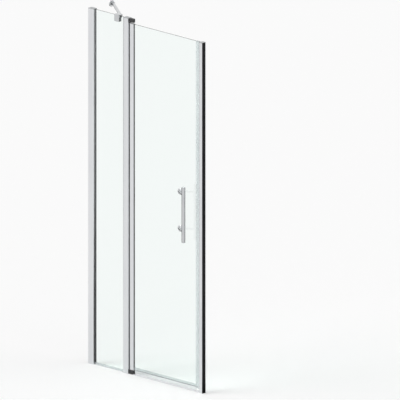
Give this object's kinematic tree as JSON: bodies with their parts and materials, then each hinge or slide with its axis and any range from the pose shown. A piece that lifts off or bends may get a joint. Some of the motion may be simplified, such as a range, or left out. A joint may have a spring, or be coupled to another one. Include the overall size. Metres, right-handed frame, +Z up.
{
  "type": "pivot shower door with fixed panel",
  "caption": "Glass shower door on a lifting pivot beside a fixed glass panel, with wall profiles, strike profile, wall stay, seals and bar handle.",
  "frame": {"origin": "on the tray, at the middle of the set's width and of the glass thickness: underside of the threshold rail", "axes": "+X from the wall of the fixed panel to the wall the door closes on, +Y into the shower, +Z up; the door opens towards -Y"},
  "size_m": [0.808, 0.2237, 1.858],
  "materials": {
    "polished_aluminium": "polished silver anodised",
    "black_anodised": "black anodised",
    "chrome": "mirror",
    "stainless_steel": "turned",
    "clear_glass": "clear toughened",
    "clear_seal": "clear flexible",
    "black_gasket": "matte",
    "black_moulding": "fine texture",
    "grey_moulding": "satin",
    "acetal": "acetal, smooth",
    "nylon": "smooth",
    "magnet_strip": "matte"
  },
  "bodies": {
    "frame": {"wall_channel": "black_anodised", "frame_profile": "polished_aluminium", "frame_top_cap": "grey_moulding", "frame_gasket_outer": "black_gasket", "frame_gasket_inner": "black_gasket", "fixed_glass": "clear_glass", "panel_floor_seal": "clear_seal", "hinge_post": "polished_aluminium", "post_top_cap": "grey_moulding", "post_gasket_outer": "black_gasket", "post_gasket_inner": "black_gasket", "hinge_seal": "black_gasket", "bottom_pivot_block": "black_moulding", "bottom_pivot_bush": "nylon", "lower_lift_cam": "acetal", "top_pivot_block": "black_moulding", "top_pivot_bush": "nylon", "top_pivot_cap": "black_moulding", "threshold_rail": "polished_aluminium", "strike_channel": "black_anodised", "strike_profile": "polished_aluminium", "strike_top_cap": "grey_moulding", "strike_magnet_seal": "clear_seal", "strike_magnet": "magnet_strip", "stay_clamp": "chrome", "stay_clamp_liner": "black_gasket", "stay_grub_screw_left": "stainless_steel", "stay_grub_screw_right": "stainless_steel", "stay_wall_bracket": "chrome", "stay_clamp_pin": "chrome", "stay_wall_pin": "chrome", "stay_eye_clamp_end": "chrome", "stay_eye_wall_end": "chrome", "stay_bar": "chrome"},
    "pivot_pins": {"bottom_pivot_pin": "stainless_steel", "top_pivot_pin": "stainless_steel"},
    "door": {"door_profile": "polished_aluminium", "upper_lift_cam": "acetal", "door_top_plug": "grey_moulding", "door_foot_cap": "grey_moulding", "door_gasket_outer": "black_gasket", "door_gasket_inner": "black_gasket", "door_glass": "clear_glass", "drip_seal": "clear_seal", "edge_seal": "clear_seal", "edge_magnet": "magnet_strip", "handle_bar": "chrome", "handle_top_cap": "chrome", "handle_bottom_cap": "chrome", "handle_upper_arm": "chrome", "handle_upper_glass_bush": "nylon", "handle_upper_inner_washer": "nylon", "handle_upper_bolt": "stainless_steel", "handle_upper_inner_cover": "chrome", "handle_lower_arm": "chrome", "handle_lower_glass_bush": "nylon", "handle_lower_inner_washer": "nylon", "handle_lower_bolt": "stainless_steel", "handle_lower_inner_cover": "chrome"}
  },
  "joints": [
    {"name": "door_swing", "type": "hinge", "parent": "frame", "child": "pivot_pins", "pos_m": [-0.1126, 0, 0], "axis": [0, 0, -1], "range_deg": [0, 95]},
    {"name": "door_lift", "type": "slide", "parent": "pivot_pins", "child": "door", "axis": [0, 0, 1], "range_m": [0, 0.0053]}
  ],
  "couplings": [
    {"joint": "door_lift", "follows": "door_swing", "m_per_rad": 0.0031831}
  ]
}
